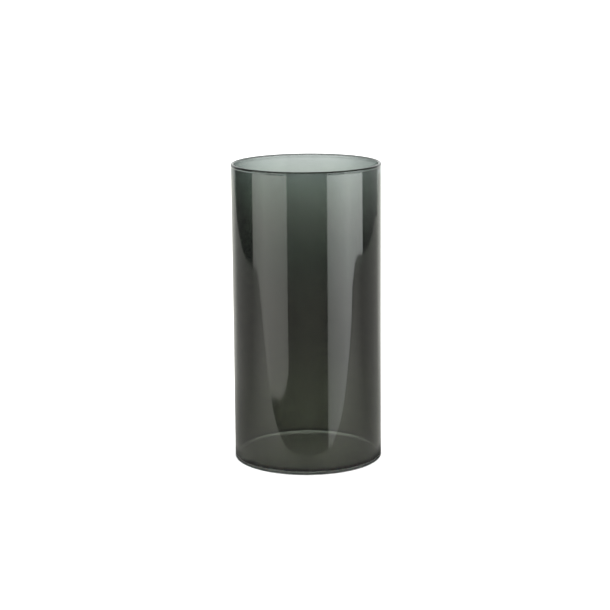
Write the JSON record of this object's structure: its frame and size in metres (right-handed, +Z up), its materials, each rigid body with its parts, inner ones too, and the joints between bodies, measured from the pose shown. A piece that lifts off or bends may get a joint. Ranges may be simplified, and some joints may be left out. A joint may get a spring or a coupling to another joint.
{
  "type": "glass cylinder vase",
  "caption": "Straight-sided smoked glass cylinder vase, dark below and paler at the mouth, with a fire-polished rim and a clear flat base sealed inside by a bead.",
  "frame": {"origin": "centre of the foot, on the surface that the vase stands on", "axes": "+Z up along the vase's axis towards the mouth; the vase is round, so X and Y are any two directions square to it"},
  "size_m": [0.1508, 0.1508, 0.302],
  "materials": {
    "smoked_glass": "polished, smoke tint fading to pale grey-green at the rim",
    "clear_glass": "polished, faint green-grey",
    "clear_seal": "smooth, clear"
  },
  "bodies": {
    "root": {"tube_wall": "smoked_glass", "base_disc": "clear_glass", "seam_bead": "clear_seal"}
  },
  "joints": []
}
